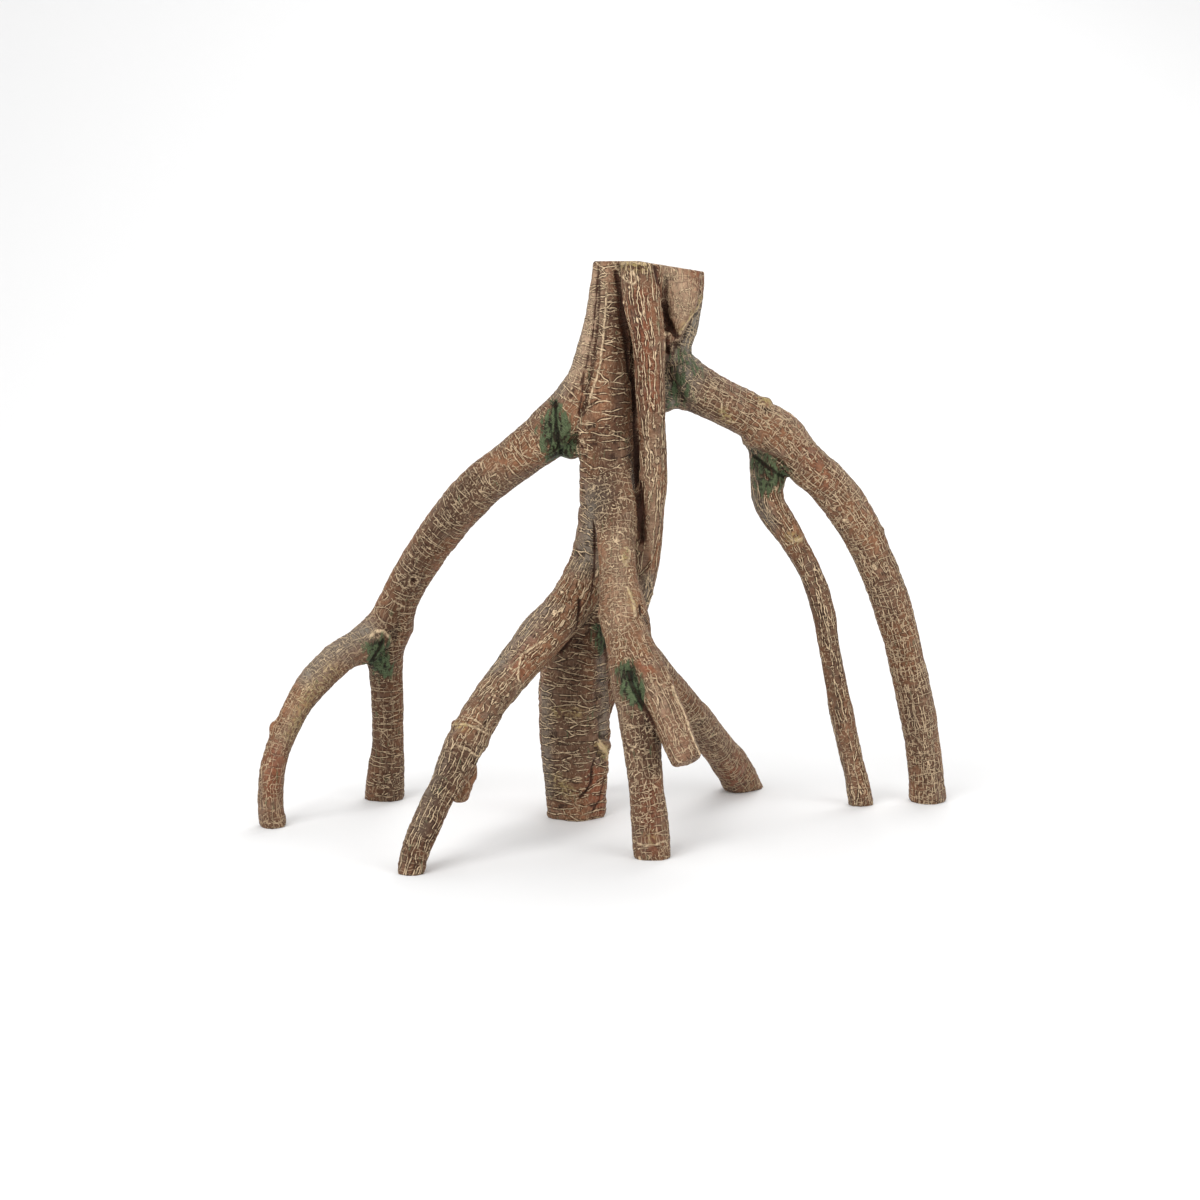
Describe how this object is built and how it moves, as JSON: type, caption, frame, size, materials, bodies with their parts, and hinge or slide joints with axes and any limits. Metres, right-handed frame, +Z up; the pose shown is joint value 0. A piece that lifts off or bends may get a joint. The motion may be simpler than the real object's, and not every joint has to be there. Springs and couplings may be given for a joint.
{
  "type": "mangrove root",
  "caption": "Sawn trunk of a mangrove on arching, forked prop roots, one solid piece of bark-covered wood that stands on its flat-cut feet.",
  "frame": {"origin": "on the floor, under the middle of the root", "axes": "+Z up along the trunk, +X to the right as seen from the front, +Y away from the viewer"},
  "size_m": [0.4221, 0.2357, 0.335],
  "materials": {
    "bark": "rough brown bark with pale raised veins, dark clefts and traces of green moss"
  },
  "bodies": {
    "root": {"mangrove_root": "bark"}
  },
  "joints": []
}
